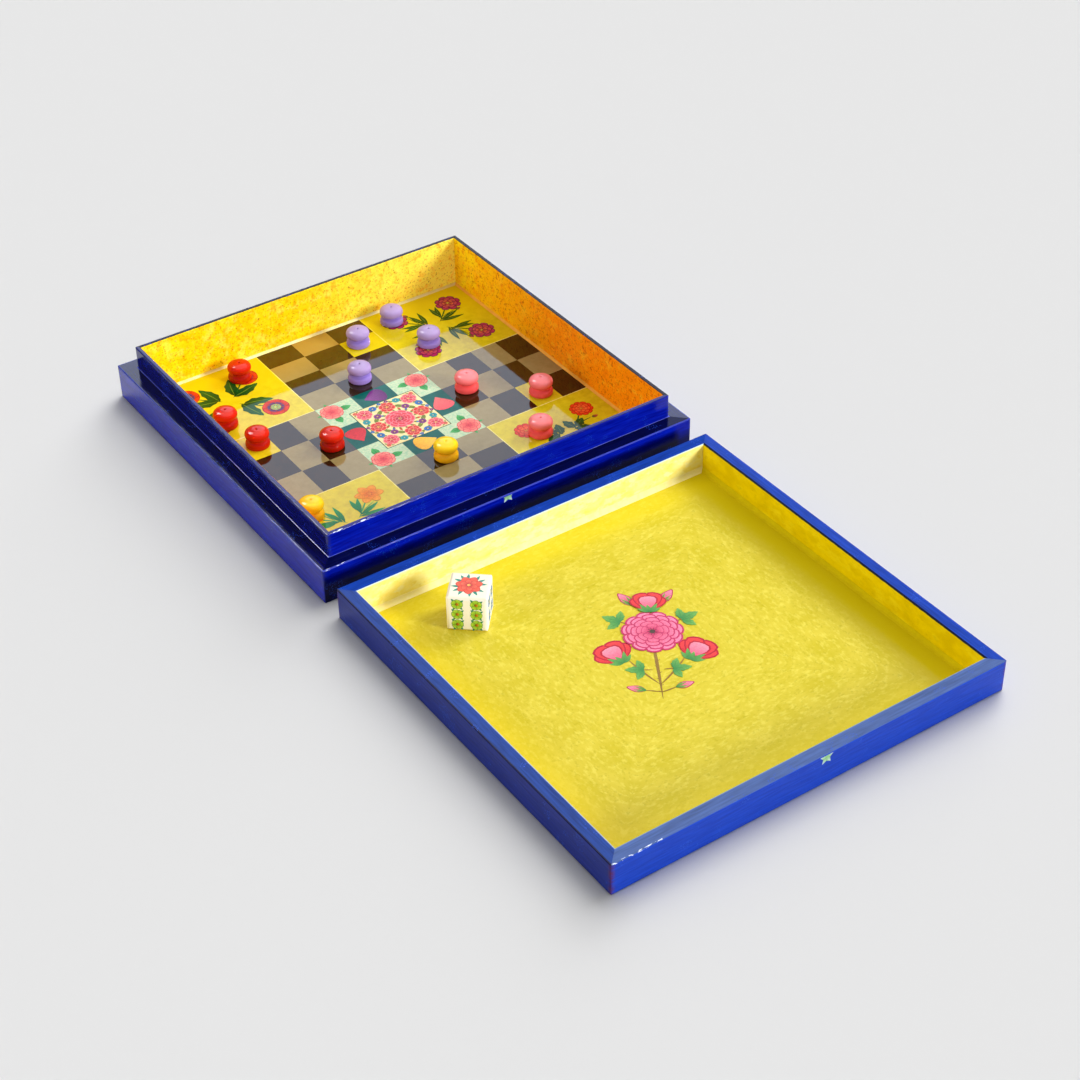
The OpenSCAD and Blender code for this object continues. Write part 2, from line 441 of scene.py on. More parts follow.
def lidPanelMaterial(look):
    material, tree, shader, place = startMaterial(
        "panelGoldInsideBlueOutside", {"Specular IOR Level": look["shine"]})
    axes = addNode(tree, "SeparateXYZ", {}, {"Vector": place}, output=None)
    across, along, height = barCoordinates(tree, place, lidMiddle.y)
    inside, outside = (addNode(tree, "Math", {"operation": test, 1: lidHigh.z / 2}, {0: height})
                       for test in (above, below))
    gold = gilding(tree, place, stretched(tree, across, along, height, goldPaint["streak"]), goldPaint)
    start, full = (lidHalf - reach * mm for reach in goldPaint["smoothMm"])
    smooth = {"From Min": start, "From Max": full, "To Min": goldPaint["roughness"],
              "To Max": goldPaint["smoothRoughness"]}
    smooth = addNode(tree, "MapRange", smooth, {"Value": across})
    rough = addNode(tree, "Mix", {"data_type": "FLOAT", 2: lidLacquer["roughness"]}, {0: inside, 3: smooth})
    # painted shade and reflection of the walls on the gold near them
    colour, strength = goldPaint["smooth"]
    gold = fadeTo(tree, gold, colour, across, start, full, strength)
    # painted shade of the right wall, deepest beside it
    start, full = (lidHalf - reach * mm for reach in goldPaint["rightWallShadeMm"])
    colour, strength = goldPaint["thick"]
    gold = fadeTo(tree, gold, colour, axes[0], start, full, strength)
    brushed = stretched(tree, axes[1], axes[0], axes[2], lidLacquer["markLength"])
    marks, tone, blue = brushMarks(tree, brushed, lidLacquer, look["blues"])
    colour = addNode(tree, "Mix", {"data_type": "RGBA"}, {0: inside, 6: blue, 7: gold}, output=2)
    relief = addNode(tree, "Math", {"operation": "MULTIPLY"}, {0: marks, 1: outside})
    tree.links.new(rough, shader.inputs["Roughness"])
    sealPaint(tree, shader, colour, relief, lidLacquer["reliefMm"])
    return material


nodes["lid_top_panel"].material_slots[0].material = lidPanelMaterial(panelLook)
print("lid panel painted")


# Playing board: artist's colours brushed on flat, under one coat of clear gloss varnish. The eye
# sees faint clouds in each paint and the room mirrored in the varnish, a little wavy, and towards
# the back a painted reflection of the gold wall warming the paint.

boardLook = {
    "laneMm": 25.5,
    "steps": 4,
    "centreMm": 46,
    "lineMm": 0.6,  # of the lines round the middle and along the yards
    "varnish": {"Roughness": 0.05, "IOR": 1.5},
    "coat": {"waveMm": 11, "reliefMm": 0.03},
    "flowerShine": 0.22,
    "wallReflectionMm": (58, 100),  # between these distances from the middle towards the back, a painted reflection of the gold wall warms the paint
    "wallReflectionStrength": 0.9,
    # two tones of each paint, its tone in the painted reflection of the gold back wall, size of its clouds
    # in mm, how much it shines
    "paints": {
        "yardGold": ("#e2d01c", "#d2be12", "#e8cc04", 4, 0.36),
        "yardLine": ("#faf09c", "#f0e068", "#f4dc30", 4, 0.36),
        "darkBrown": ("#261808", "#33220c", "#503208", 5, 0.5),
        "tanOchre": ("#988858", "#908050", "#b48e3c", 4, 0.5),
        "tealGreen": ("#0c645c", "#085650", "#085650", 6, 0.16),
        "mintWash": ("#d2dcb4", "#a2cca6", "#a2cca6", 1.4, 0.25),
        "warmCream": ("#f6e6a8", "#eed890", "#eed890", 4, 0.25),
        "darkOutline": ("#0c4434", "#124c30", "#124c30", 4, 0.25),
    },
}


def varnished(name, paint, look):
    first, second, wallReflectionTone, cloudMm, level = paint
    shine = dict(look["varnish"], **{"Specular IOR Level": level})
    material, tree, shader, place = startMaterial(name, shine)
    clouds = {"Scale": 1 / (cloudMm * mm), "Detail": 5.0, "Roughness": 0.6}
    clouds = addNode(tree, "TexNoise", clouds, {"Vector": place})
    clouds = addNode(tree, "MapRange", cloudRange, {"Value": clouds})
    tones = {"data_type": "RGBA", 6: linear(first), 7: linear(second)}
    colour = addNode(tree, "Mix", tones, {0: clouds}, output=2)
    axes = addNode(tree, "SeparateXYZ", {}, {"Vector": place}, output=None)
    start, full = (reach * mm for reach in look["wallReflectionMm"])
    # painted reflection of the gold back wall, growing towards it
    colour = fadeTo(tree, colour, wallReflectionTone, axes[1], start, full, look["wallReflectionStrength"])
    sealInWaves(tree, shader, place, colour, look["coat"])
    return material


def boardGrid(look):
    # width of a lane and of a line, half of the cross's width and of the middle's, length of a step
    lane = look["laneMm"] * mm
    arm = 1.5 * lane
    return lane, look["lineMm"] * mm, arm, look["centreMm"] * mm / 2, (boardHalf - arm) / look["steps"]


def squarePaint(x, y, look):
    # which paint a square has, from where its middle lies
    lane, line, arm, centre, step = boardGrid(look)
    near, far = sorted((abs(x), abs(y)))
    if near > arm:
        return "yardLine" if near < arm + line else "yardGold"
    if far < centre:
        return "warmCream" if far < centre - line else "darkOutline"
    if far < arm:
        return "tealGreen" if near < lane / 2 else "mintWash"
    while y < abs(x):  # turned until the arm is the far one
        x, y = -y, x
    row = int((boardHalf - y) / step)
    column = int((x + arm) / lane)
    if row == 1 and column == 2:
        return "yardGold"
    return "darkBrown" if (row + column) % 2 == 0 else "tanOchre"


def paintBoard(look):
    lane, line, arm, centre, step = boardGrid(look)
    cuts = [lane / 2, centre - line, centre, arm + line] + [arm + i * step for i in range(look["steps"])]
    bm = bmesh.new()
    bmesh.ops.create_grid(bm, x_segments=1, y_segments=1, size=boardHalf)
    bmesh.ops.translate(bm, vec=(0, 0, boardHigh.z), verts=bm.verts)
    for cut in cuts:
        for sign in (-1, 1):
            for axis in (Vector((1, 0, 0)), Vector((0, 1, 0))):
                bmesh.ops.bisect_plane(bm, geom=bm.verts[:] + bm.edges[:] + bm.faces[:], dist=1e-7,
                                       plane_co=axis * cut * sign, plane_no=axis)
    names = list(look["paints"])
    for face in bm.faces:
        middle = face.calc_center_median()
        face.material_index = names.index(squarePaint(middle.x, middle.y, look))
    materials = [varnished(name, paint, look) for name, paint in look["paints"].items()]
    board = addPiece("paintedBoard", bm, "base", materials)
    thick = board.modifiers.new("thickness", "SOLIDIFY")
    thick.thickness = boardHigh.z - boardLow.z
    thick.offset = -1
    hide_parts("playing_board")


paintBoard(boardLook)
print("board painted")


# Brushwork: each mark is a small disc shaped as a dot, petal, leaf or stroke, with a colour at
# its root and another at its tip. Marks are laid one over the other like paint. A painting is
# laid out in mm, from the middle of the face that it lies on.

markForms = {  # how much wider the tip is than the root, how pointed the ends are, notch, saw edge
    "dot": {"flare": 0.0, "point": 0.0, "notch": 0.0, "saw": 0.0},
    "petal": {"flare": 0.45, "point": 0.0, "notch": 0.12, "saw": 0.0},
    "slim": {"flare": 0.2, "point": 0.45, "notch": 0.0, "saw": 0.0},
    "leaf": {"flare": -0.2, "point": 0.7, "notch": 0.0, "saw": 0.0},
    "sawn": {"flare": -0.2, "point": 0.6, "notch": 0.0, "saw": 0.22},
    "stroke": {"flare": 0.0, "point": 0.6, "notch": 0.0, "saw": 0.0},
    "bud": {"flare": -0.35, "point": 0.3, "notch": 0.0, "saw": 0.0},
    "drop": {"flare": -0.75, "point": 0.1, "notch": 0.0, "saw": 0.0},
}
notchShape = {"width": 0.15, "start": 0.8}  # shares of the mark's width and length
rimShape = {"start": 0.06, "length": 0.87, "width": 0.84}  # of a petal's own colours in its outline
rootShare = 0.08  # of a blossom's radius, where its petals start
filmMm = {"lowest": 0.05, "step": 0.003, "thickness": 0.2}


def startPainting(onto):
    bm = bmesh.new()
    return {"bm": bm, "ink": bm.verts.layers.float_color.new("paint"), "onto": onto, "level": 0}


def mark(painting, at, length, width, turn, inks, form="dot", bend=0.0, points=14):
    shape = markForms[form]
    painting["level"] += 1
    lift = filmMm["lowest"] + painting["level"] * filmMm["step"]
    place = painting["onto"] @ Matrix.Translation((at[0], at[1], lift)) @ Matrix.Rotation(turn, 4, "Z")
    root, tip = (Vector(linear(ink)) for ink in inks)
    disc = bmesh.ops.create_circle(painting["bm"], cap_ends=True, cap_tris=True, segments=points,
                                   radius=0.5)["verts"]
    for i, vert in enumerate(disc):
        share, side = vert.co.x + 0.5, vert.co.y
        side *= (1 + shape["flare"] * (2 * share - 1)) * (1 - shape["point"] * (2 * share - 1) ** 2)
        side *= 1 - shape["saw"] * (i % 2)
        vert[painting["ink"]] = root.lerp(tip, share)
        dip = max(0, share - notchShape["start"]) / (1 - notchShape["start"])
        share -= shape["notch"] * math.exp(-(side / notchShape["width"]) ** 2) * dip
        vert.co = place @ Vector((share * length, side * width + bend * length * share ** 2, 0))


def dot(painting, at, radius, ink, edge=None, points=12):
    mark(painting, (at[0] - radius, at[1]), 2 * radius, 2 * radius, 0, (ink, edge or ink), "dot", 0, points)


def polar(at, reach, turn):
    return at[0] + reach * math.cos(turn), at[1] + reach * math.sin(turn)


def petal(painting, at, length, width, turn, inks, form, edge):
    # an outline in the edge colour with the petal's own colours over it
    if edge:
        mark(painting, at, length, width, turn, (edge, edge), form, 0, 14)
        at = polar(at, length * rimShape["start"], turn)
        length, width = length * rimShape["length"], width * rimShape["width"]
    mark(painting, at, length, width, turn, inks, form, 0, 14)


def blossom(painting, at, radius, look, turn=0.0):
    for reach, count, width, inks in look["rings"]:
        for i in range(count):
            angle = turn + 2 * math.pi * i / count
            root = polar(at, radius * rootShare, angle)
            petal(painting, root, radius * (reach - rootShare), radius * width, angle, inks,
                  look.get("form", "petal"), look.get("edge"))
        turn += math.pi / count
    eye = radius * look["eye"]
    dot(painting, at, eye, look["heart"][0], look["heart"][1])
    for i in range(look.get("seeds", 0)):
        angle = 2 * math.pi * i / look["seeds"]
        mark(painting, polar(at, eye * 0.9, angle), eye * 1.1, eye * 0.22, angle,
             (look["seed"], look["seed"]), "stroke", 0, 6)


cupShape = {  # a half open flower from its side: angles, and lengths and widths as shares of its size
    "petals": ((-0.62, 0.86, 0.5), (0.62, 0.86, 0.5), (-0.3, 0.98, 0.56), (0.3, 0.98, 0.56)),
    "sepals": ((-1.25, 0.42), (1.25, 0.42), (-0.75, 0.5), (0.75, 0.5), (0, 0.36)),
}


def cup(painting, at, size, turn, look):
    for angle, reach, width in cupShape["petals"]:
        petal(painting, at, size * reach, size * width, turn + angle, look["outer"], "petal", look["edge"])
    petal(painting, polar(at, size * 0.06, turn), size * 0.72, size * 0.62, turn,
          look["inner"], "petal", look["edge"])
    root = polar(at, -size * 0.08, turn)
    for angle, reach in cupShape["sepals"]:
        leaf(painting, root, size * reach, size * 0.15, turn + angle, look["calyx"],
             math.copysign(0.15, -angle))


def leaf(painting, at, length, width, turn, look, bend=0.0):
    mark(painting, at, length, width, turn, look["inks"], look.get("form", "leaf"), bend,
         look.get("points", 16))
    if "rib" in look:
        mark(painting, at, length * 0.85, max(width * 0.07, 0.25), turn,
             (look["rib"], look["rib"]), "stroke", bend, 8)


# Smooth finishes. Gloss lacquer is dipped or flowed on, so it has hardly any relief: the eye sees
# soft clouds of tone and, on turned pieces, a painted shade that deepens the colour down the sides.
# Flower paint is opaque water colour with its own brush grain, lighter and darker, under a thin varnish.

lacquerCoat = {"cloudMm": 4, "waveMm": 2.2, "reliefMm": 0.012}
flowerGrain = {"mm": 0.9, "darkest": 0.82, "lightest": 1.12}
thinCoat = {"waveMm": 2, "reliefMm": 0.01}


def glossLacquer(name, colours, shine, shadeAndYellowing=None, waved=True):
    material, tree, shader, place = startMaterial(name, shine)
    clouds = {"Scale": 1 / (lacquerCoat["cloudMm"] * mm), "Detail": 3.0}
    clouds = addNode(tree, "TexNoise", clouds, {"Vector": place})
    tones = {"data_type": "RGBA", 6: linear(colours[0]), 7: linear(colours[1])}
    paint = addNode(tree, "Mix", tones, {0: clouds}, output=2)
    # a colour that grows along the height: painted shade down a token's sides, and the die's yellowed top
    if shadeAndYellowing:
        colour, start, full, strength = shadeAndYellowing
        axes = addNode(tree, "SeparateXYZ", {}, {"Vector": place}, output=None)
        paint = fadeTo(tree, paint, colour, axes[2], start, full, strength)
    if waved:
        sealInWaves(tree, shader, place, paint, lacquerCoat)
    else:
        tree.links.new(paint, shader.inputs["Base Color"])
    return material


def artPaint(name, shine, coat):
    material, tree, shader, place = startMaterial(name, shine)
    ink = addNode(tree, "Attribute", {"attribute_name": "paint"}, output="Color")  # from the marks
    grain = {"Scale": 1 / (flowerGrain["mm"] * mm), "Detail": 3.0}
    grain = addNode(tree, "TexNoise", grain, {"Vector": place})
    shades = dict(markRange, **{"To Min": flowerGrain["darkest"], "To Max": flowerGrain["lightest"]})
    shade = addNode(tree, "MapRange", shades, {"Value": grain})
    colour = addNode(tree, "VectorMath", {"operation": "SCALE"}, {0: ink, "Scale": shade})
    sealInWaves(tree, shader, place, colour, coat)
    return material


def hangPainting(painting, name, body, material):
    piece = addPiece(name, painting["bm"], body, [material])
    film = piece.modifiers.new("film", "SOLIDIFY")
    film.thickness = filmMm["thickness"] * mm
    film.offset = -1


# Flowers of the four yards: one kind for each player, four plants round each yard

yardLook = {
    "rootMm": 5,  # of each plant from the yard's middle
    "spotMm": 29,  # of its flower
    "red": {
        "radius": 8.8,
        "flower": {
            "rings": [(1.0, 6, 1.0, ("#7c1010", "#e83c18")), (0.66, 6, 0.7, ("#2c1c44", "#5c3c70")),
                      (0.4, 6, 0.42, ("#a8c47c", "#8cae68"))],
            "edge": "#b81c14", "heart": ("#d8dc7c", "#98a63c"), "eye": 0.12, "seeds": 8, "seed": "#33202c"},
        "leaf": {"inks": ("#0c3c0c", "#1c6420"), "form": "sawn", "rib": "#6c8c20", "points": 20},
        "leafSize": (20, 9), "leafTurns": (-0.62, 0.62), "small": ("#d83c18", 0.0),
    },
    "purple": {
        "radius": 9.2,
        "flower": {
            "rings": [(1.0, 8, 0.56, ("#4c0830", "#c02c60")), (0.72, 7, 0.5, ("#6c1038", "#d84858")),
                      (0.44, 5, 0.36, ("#8c1830", "#e86848"))],
            "edge": "#5c0c3c", "heart": ("#d8c84a", "#b07a2c"), "eye": 0.1, "seeds": 6, "seed": "#e8a02c"},
        "leaf": {"inks": ("#24440a", "#3c6410"), "form": "leaf", "rib": "#7c943c"},
        "leafSize": (17, 3.4), "leafTurns": (-1.0, -0.62, 0.62, 1.0), "small": ("#b8284c", 1.2),
    },
    "pink": {
        "radius": 8.0,
        "flower": {
            "rings": [(1.0, 10, 0.5, ("#b81c08", "#f4421a")), (0.76, 8, 0.46, ("#c82408", "#ff5c2c")),
                      (0.48, 6, 0.36, ("#d83408", "#ff7a3c"))],
            "edge": "#c41c0c", "heart": ("#e8b030", "#d05a1c"), "eye": 0.1, "seeds": 7, "seed": "#ffcf6a"},
        "leaf": {"inks": ("#0c3c10", "#1c5a24"), "form": "sawn", "rib": "#4c7428", "points": 18},
        "leafSize": (11, 7), "leafTurns": (-1.15, 1.15, -0.35), "small": ("#d84838", 1.5),
    },
    "yellow": {
        "radius": 9.0,
        "flower": {
            "rings": [(1.0, 6, 0.66, ("#e87408", "#fcac30")), (0.6, 6, 0.5, ("#e06404", "#f89a24"))],
            "form": "slim", "edge": "#e48414", "heart": ("#e06a10", "#f0a02c"), "eye": 0.13, "seeds": 6,
            "seed": "#a8541c"},
        "leaf": {"inks": ("#0c6c3c", "#2c9c54"), "form": "leaf"},
        "leafSize": (17, 3.4), "leafTurns": (-0.95, -0.55, 0.5, 0.9), "small": ("#f08c1c", 0.9),
    },
}


def paintPlant(painting, root, spot, outward, kind):
    painting["level"] = 0
    length = math.hypot(spot[0] - root[0], spot[1] - root[1])
    stem = kind["leaf"]["inks"][1]
    mark(painting, root, length, 1.0, outward, (stem, stem), "stroke", 0.02, 10)
    for k, leafTurn in enumerate(kind["leafTurns"]):
        at = polar(root, length * (0.08 + 0.06 * k), outward)
        leaf(painting, at, kind["leafSize"][0] * (1 - 0.06 * k), kind["leafSize"][1], outward + leafTurn,
             kind["leaf"], math.copysign(0.1, -leafTurn))
    ink, lean = kind["small"]
    if lean:  # a bud beside the flower
        at = polar(root, length * 0.3, outward)
        mark(painting, at, length * 0.5, 0.7, outward - 0.5 * lean, (stem, stem), "stroke", 0.05, 8)
        tip = polar(at, length * 0.5, outward - 0.5 * lean)
        mark(painting, tip, 4.4, 2.8, outward - 0.5 * lean, (stem, ink), "bud", 0, 12)
    blossom(painting, spot, kind["radius"], kind["flower"], outward)


def paintYard(painting, player, look):
    corner = math.radians(135 - 90 * players.index(player))
    middle = (boardHalf + 1.5 * boardLook["laneMm"] * mm) / 2 / mm
    yard = (math.copysign(middle, math.cos(corner)), math.copysign(middle, math.sin(corner)))
    for i in range(4):
        outward = math.radians(45 + 90 * i)
        root, spot = (polar(yard, reach, outward) for reach in (look["rootMm"], look["spotMm"]))
        paintPlant(painting, root, spot, outward, look[player])


# Middle of the board: a big blossom with small ones round it on cream, and a rosette with two
# leaves in each mint corner. A petal in each player's colour lies on the teal squares.

centreLook = {
    "big": {
        "rings": [(1.0, 9, 0.62, ("#c01830", "#f0525c")), (0.76, 8, 0.56, ("#b01428", "#ec4650")),
                  (0.52, 6, 0.46, ("#9c1024", "#e83c44")), (0.32, 5, 0.32, ("#7c0c1c", "#d8303c"))],
        "edge": "#f8909c", "heart": ("#f0c040", "#a8241c"), "eye": 0.08, "seeds": 6, "seed": "#f8dc80"},
    "red": {
        "rings": [(1.0, 6, 0.74, ("#a40c10", "#e8382a")), (0.6, 5, 0.5, ("#8c0c10", "#f05c44"))],
        "edge": "#f49a80", "heart": ("#f4c850", "#d88a2c"), "eye": 0.15, "seeds": 5, "seed": "#f8d060"},
    "pink": {
        "rings": [(1.0, 7, 0.7, ("#cc2444", "#f4686c")), (0.64, 5, 0.5, ("#b81838", "#ec4c54"))],
        "edge": "#f8a8a4", "heart": ("#f6d060", "#c05a2c"), "eye": 0.12, "seeds": 5, "seed": "#f8dc80"},
    "blue": {"rings": [(1.0, 5, 0.9, ("#14408c", "#3c84cc"))],
             "heart": ("#f0d870", "#c89a3c"), "eye": 0.2},
    "purple": {"rings": [(1.0, 5, 0.9, ("#4c0c54", "#9c3c8c"))],
               "heart": ("#f0d060", "#c8802c"), "eye": 0.22},
    "teal": {"rings": [(1.0, 6, 0.76, ("#0c6c7c", "#3cb0b4"))],
             "heart": ("#f4e0a0", "#4c8c8c"), "eye": 0.2},
    "rounds": [  # four of each, evenly round the middle: kind, distance, radius, angle of the first
        ("pink", 22.6, 5.4, 45), ("red", 15.4, 5.5, 0), ("purple", 14.2, 2.6, 45), ("blue", 20.6, 2.6, 24),
        ("teal", 20.6, 2.6, 66), ("red", 28.6, 1.5, 45), ("blue", 21.4, 1.3, 7), ("purple", 21.4, 1.3, 83),
    ],
    "leaf": {"inks": ("#5c6c10", "#84942c"), "form": "leaf"},
    "buds": ("#e0342c", "#2c70b8", "#e0342c", "#7c2c7c"),
    "rosette": {
        "rings": [(1.0, 8, 0.66, ("#e8404c", "#fa9c88")), (0.76, 6, 0.6, ("#e03848", "#f88474")),
                  (0.48, 5, 0.46, ("#d42c40", "#f46c64"))],
        "edge": "#e04c54", "heart": ("#c8283c", "#e04c50"), "eye": 0.1},
    "rosetteLeaf": {"inks": ("#0c8428", "#4cb05c"), "form": "leaf", "rib": "#0c6c24", "points": 14},
    # one on each teal square, from the right and turning left
    "petals": {"pink": ("#ee545c", "#f87470"), "purple": ("#5c1064", "#8a3c8e"),
               "red": ("#c81420", "#e02c34"), "yellow": ("#fcb40c", "#fec83c")},
}


def paintRound(painting, look):
    for kind, reach, radius, degrees in look["rounds"]:
        for i in range(4):
            turn = math.radians(degrees + 90 * i)
            spot = polar((0, 0), reach, turn)
            painting["level"] = 4
            for side in (turn - 1.9, turn + 1.9):
                leaf(painting, polar(spot, radius * 0.7, side), radius * 0.9 + 1, radius * 0.4 + 0.3, side,
                     look["leaf"])
            painting["level"] = 10
            blossom(painting, spot, radius, look[kind], turn)
    for i in range(16):  # buds and leaves that fill the ground
        turn = math.radians(11.25 + 22.5 * i)
        painting["level"] = 2
        leaf(painting, polar((0, 0), 9.0, turn), 4.4, 1.7, turn + 0.5, look["leaf"])
        dot(painting, polar((0, 0), 11.4, turn + 0.1), 0.8, look["buds"][i % 4], None, 8)


def paintCentre(painting, look):
    half, arm = boardLook["centreMm"] / 2, 1.5 * boardLook["laneMm"]
    paintRound(painting, look)
    painting["level"] = 30
    blossom(painting, (0, 0), 9.8, look["big"], 0.2)
    for i, inks in enumerate(look["petals"].values()):
        out = math.radians(90 * i)
        painting["level"] = 0
        at = polar(polar((0, 0), half + 7.2, out), -7.6, out + math.pi / 2)
        mark(painting, at, 15, 12, out + math.pi / 2, inks, "drop", 0, 20)
        corner = math.radians(45 + 90 * i)
        middle = polar((0, 0), (half + arm) / 2 * math.sqrt(2), corner)
        painting["level"] = 0
        for k in (-1, 1):
            back, beside = corner + k * 2.36, corner + k * 0.8
            leaf(painting, polar(middle, 5.4, back), 8.2, 5.2, back, look["rosetteLeaf"])
            leaf(painting, polar(middle, 4, beside), 6.4, 2.0, beside, look["rosetteLeaf"])
        blossom(painting, middle, 7.8, look["rosette"], corner)


def paintBoardFlowers():
    painting = startPainting(Matrix.Translation((0, 0, boardHigh.z)) @ Matrix.Scale(mm, 4))
    for player in players:
        paintYard(painting, player, yardLook)
    paintCentre(painting, centreLook)
    shine = dict(boardLook["varnish"], **{"Specular IOR Level": boardLook["flowerShine"]})
    paint = artPaint("flowerPaintUnderVarnish", shine, boardLook["coat"])
    hangPainting(painting, "boardFlowers", "base", paint)


paintBoardFlowers()
print("board flowers painted")


# Flowers in the lid: a spray of round blossoms on one stem, in flower paint that dried satin

sprayLook = {
    "place": (-0.5, 7.4),  # mm from the lid's middle
    "turn": -31,  # degrees
    "finish": {"Roughness": 0.34, "Specular IOR Level": 0.25},
    "coat": {"waveMm": 4, "reliefMm": 0.01},
    "stem": ("#8a6414", "#9c7c28"),
    "large": {"rings": [(1.0, 11, 0.5, ("#e0507c", "#f58cae")), (0.86, 10, 0.46, ("#dc4874", "#f484a6")),
                        (0.7, 8, 0.44, ("#d8406c", "#f27c9e")), (0.53, 7, 0.38, ("#d03c66", "#f07496")),
                        (0.36, 5, 0.32, ("#c83460", "#ee6c90"))],
              "edge": "#c42c60", "heart": ("#3c4428", "#5c2c34"), "eye": 0.09, "seeds": 10,
              "seed": "#4c2430"},
    "side": {"outer": ("#c81420", "#ee3c3c"), "inner": ("#e85478", "#f898ac"), "edge": "#b80c28",
             "calyx": {"inks": ("#2c7c38", "#6cae4c"), "form": "leaf"}},
    "leaf": {"inks": ("#2c8440", "#74b04c"), "form": "sawn", "rib": "#3c8c38", "points": 22},
    "bud": (("#d83458", "#f490a8"), ("#2c7c34", "#80a83c")),  # the bud and its green leaves
    "budEdge": "#b82850",
}


def budOnStalk(painting, at, turn, length, look):
    stalk, size = length * 0.55, length * 0.6
    mark(painting, at, stalk, 0.8, turn, look["stem"], "stroke", 0.1, 10)
    tip = polar(at, stalk * 0.95, turn + 0.08)
    petal(painting, tip, size, size * 0.5, turn, look["bud"][0], "bud", look["budEdge"])
    for k in (-0.42, -0.2, 0.2, 0.42):
        mark(painting, polar(tip, -0.8, turn), size * (0.85 - abs(k) * 0.6), size * 0.11, turn + k,
             look["bud"][1], "leaf", 0, 10)


def leafGroup(painting, at, turn, size, look):
    # three leaflets on one short stalk
    mark(painting, at, size * 0.7, 0.7, turn, look["stem"], "stroke", 0, 8)
    tip = polar(at, size * 0.5, turn)
    for k, share in ((-1.1, 0.85), (1.1, 0.85), (0, 1.0)):
        leaf(painting, tip, size * share, size * share * 0.58, turn + k, look["leaf"], 0.06 * k)


def paintSpray(look):
    onto = Matrix.Translation((look["place"][0] * mm, lidMiddle.y + look["place"][1] * mm, lidHigh.z))
    onto = onto @ Matrix.Rotation(math.radians(look["turn"]), 4, "Z") @ Matrix.Scale(mm, 4)
    painting = startPainting(onto)
    up = math.pi / 2
    mark(painting, (0, -46), 60, 1.9, up, look["stem"], "stroke", 0.02, 14)
    for i in range(6):  # small shoots along the stem
        mark(painting, (0, -40 + 5 * i), 2.4, 0.5, up + (-1) ** i * 0.9, look["stem"], "leaf", 0, 6)
    for side in (-1, 1):
        mark(painting, (0, -34), 28, 1.2, up - side * 0.72, look["stem"], "stroke", side * 0.1, 12)
        cup(painting, (side * 18.5, -14), 19, up - side * 0.55, look["side"])
        budOnStalk(painting, (side * 1, 24), up - side * 0.62, 22, look)
        budOnStalk(painting, (0, -40), up - side * 1.25, 17, look)
        leafGroup(painting, (side * 3, -22), up - side * 1.5, 10, look)
        leafGroup(painting, (side * 12, 16), up - side * 1.05, 11, look)
    blossom(painting, (0, 9), 18, look["large"], 0.1)
    cup(painting, (0, 27), 17, up, look["side"])
    paint = artPaint("flowerPaintSatin", look["finish"], look["coat"])
    hangPainting(painting, "lidSpray", "lid", paint)


paintSpray(sprayLook)
print("lid spray painted")


# Coves: paint, varnish and lacquer that ran into the corners and set there, coloured as painted light:
# gold paint where the lid's floor meets its walls, pale as painted sheen on front and back and deeper as
# painted shade on the sides; varnish round the board, a painted highlight line, cream on front and back
# and amber on the sides; and a bead of blue lacquer where the rim rises from the ledge, paler as a painted
# highlight line

coveLook = {
    "sunkMm": 0.2,  # how far a cove's back goes into the corner
    "steps": 6,  # faces across the curve
    "finishes": {  # two tones, roughness and shine
        "paintCoveWithPaintedSheen": ("#fff8c0", "#fbe97c", 0.5, 0.1),
        "paintCoveWithPaintedShade": ("#dcc60c", "#c8ae04", 0.5, 0.05),
        "varnishFilletWithPaintedHighlight": ("#fffbd8", "#ffe658", 0.2, 0.4),
        "varnishFilletWithPaintedAmberHighlight": ("#f8bc50", "#e8982c", 0.2, 0.2),
        "lacquerBeadWithPaintedHighlight": ("#4450c4", "#3640ac", 0.08, 0.5),
    },
    "coves": {  # radius in mm, body, slot, and its finish along front and back and along the sides
        "lidCove": (2.6, "lid", "gold_paint", ["paintCoveWithPaintedSheen", "paintCoveWithPaintedShade"]),
        "boardFillet": (1.3, "base", "gold_paint", ["varnishFilletWithPaintedHighlight", "varnishFilletWithPaintedAmberHighlight"]),
        "rimBead": (0.85, "base", "blue_lacquer", ["lacquerBeadWithPaintedHighlight"]),
    },
}


def mouldedRing(half, middleY, outline):
    # the section at one corner, spun to the other three, so that each corner is a mitre
    points = [(half - inset, middleY + half - inset, height) for inset, height in outline]
    bm = spun(points, (0, middleY, 0), 4, closed=True)
    for edge in bm.edges:
        edge.smooth = edge.calc_length() > half  # the short ones lie in the mitres
    return bm


def coveOutline(radius, floorZ, outwards, look):
    # section of a cove: insets from the wall's face and heights
    sink, steps = look["sunkMm"] * mm, look["steps"]
    arc = [math.radians(90 * i / steps) for i in range(steps + 1)]
    curve = [(radius * (1 - math.sin(a)), floorZ + radius * (1 - math.cos(a))) for a in arc]
    section = [(-sink, floorZ + radius), *reversed(curve), (radius, floorZ - sink), (-sink, floorZ - sink)]
    return [(-inset if outwards else inset, height) for inset, height in section]


